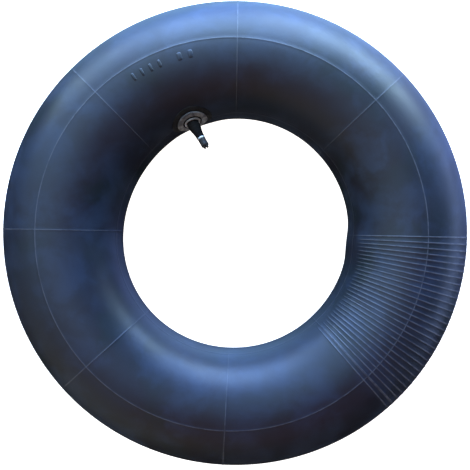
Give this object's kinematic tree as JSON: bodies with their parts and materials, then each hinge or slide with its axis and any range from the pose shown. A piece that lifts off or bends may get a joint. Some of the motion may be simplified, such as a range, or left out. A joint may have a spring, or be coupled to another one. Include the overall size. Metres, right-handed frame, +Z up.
{
  "type": "inner tube",
  "caption": "Inflated butyl inner tube lying flat, with moulded ribs and vent lines, and a leaning rubber-covered car-type valve with its core and slotted cap on the inner side.",
  "frame": {"origin": "middle of the ring at the level it rests on", "axes": "+Z up along the ring's axis, +Y towards the side the valve is on, +X to its right seen from above"},
  "size_m": [0.6, 0.6, 0.153],
  "materials": {
    "butyl": "moulded butyl rubber, blue-black, half gloss",
    "patch_rubber": "buffed rubber, black, dull",
    "pad_rubber": "moulded rubber, mid grey, dull",
    "stem_rubber": "moulded rubber, black, half gloss",
    "plated_brass": "turned brass, bright nickel plate",
    "core_brass": "turned brass",
    "seal_plastic": "moulded sealing sleeve, red",
    "spring_steel": "drawn spring wire",
    "seal_rubber": "cut rubber, black",
    "cap_plastic": "moulded plastic, dark grey, half gloss"
  },
  "bodies": {
    "tube": {"tube_body": "butyl", "reinforcing_patch": "patch_rubber", "valve_pad": "pad_rubber"},
    "stem": {"stem_rubber": "stem_rubber", "stem_insert": "plated_brass"},
    "cap_washer": {"cap_seal": "seal_rubber"},
    "cap": {"cap_shell": "cap_plastic"},
    "core_sleeve": {"core_barrel": "core_brass", "core_barrel_seal": "seal_plastic", "core_spring": "spring_steel"},
    "core_screw": {"core_plug": "core_brass"},
    "core_plunger": {"core_pin": "core_brass", "core_cup": "core_brass", "core_cup_seal": "seal_rubber"}
  },
  "joints": [
    {"name": "stem_flex", "type": "hinge", "parent": "tube", "child": "stem", "pos_m": [-0.0529, 0.13782, 0.10784], "axis": [-0.1371, 0.3573, 0.9239], "range_deg": [-22.5, 7.5], "stiffness_Nm_per_rad": 0.6},
    {"name": "cap_travel", "type": "slide", "parent": "stem", "child": "cap_washer", "axis": [0.4501, -0.8084, 0.3794], "range_m": [0, 0.00953]},
    {"name": "cap_turn", "type": "hinge", "parent": "cap_washer", "child": "cap", "pos_m": [-0.03931, 0.11341, 0.1193], "axis": [0.4501, -0.8084, 0.3794], "range_deg": [0, 4320.5]},
    {"name": "core_lift", "type": "slide", "parent": "stem", "child": "core_sleeve", "axis": [0.4501, -0.8084, 0.3794], "range_m": [0, 0.0007055]},
    {"name": "core_turn", "type": "hinge", "parent": "core_sleeve", "child": "core_screw", "pos_m": [-0.03976, 0.11422, 0.11892], "axis": [0.4501, -0.8084, 0.3794], "range_deg": [0, 360.5]},
    {"name": "pin_press", "type": "slide", "parent": "core_sleeve", "child": "core_plunger", "axis": [-0.4501, 0.8084, -0.3794], "range_m": [0, 0.0015], "stiffness_N_per_m": 1000, "deforming": ["core_spring"]}
  ],
  "couplings": [
    {"joint": "cap_turn", "follows": "cap_travel", "rad_per_m": 7915.8},
    {"joint": "core_turn", "follows": "core_lift", "rad_per_m": 8905.3}
  ]
}
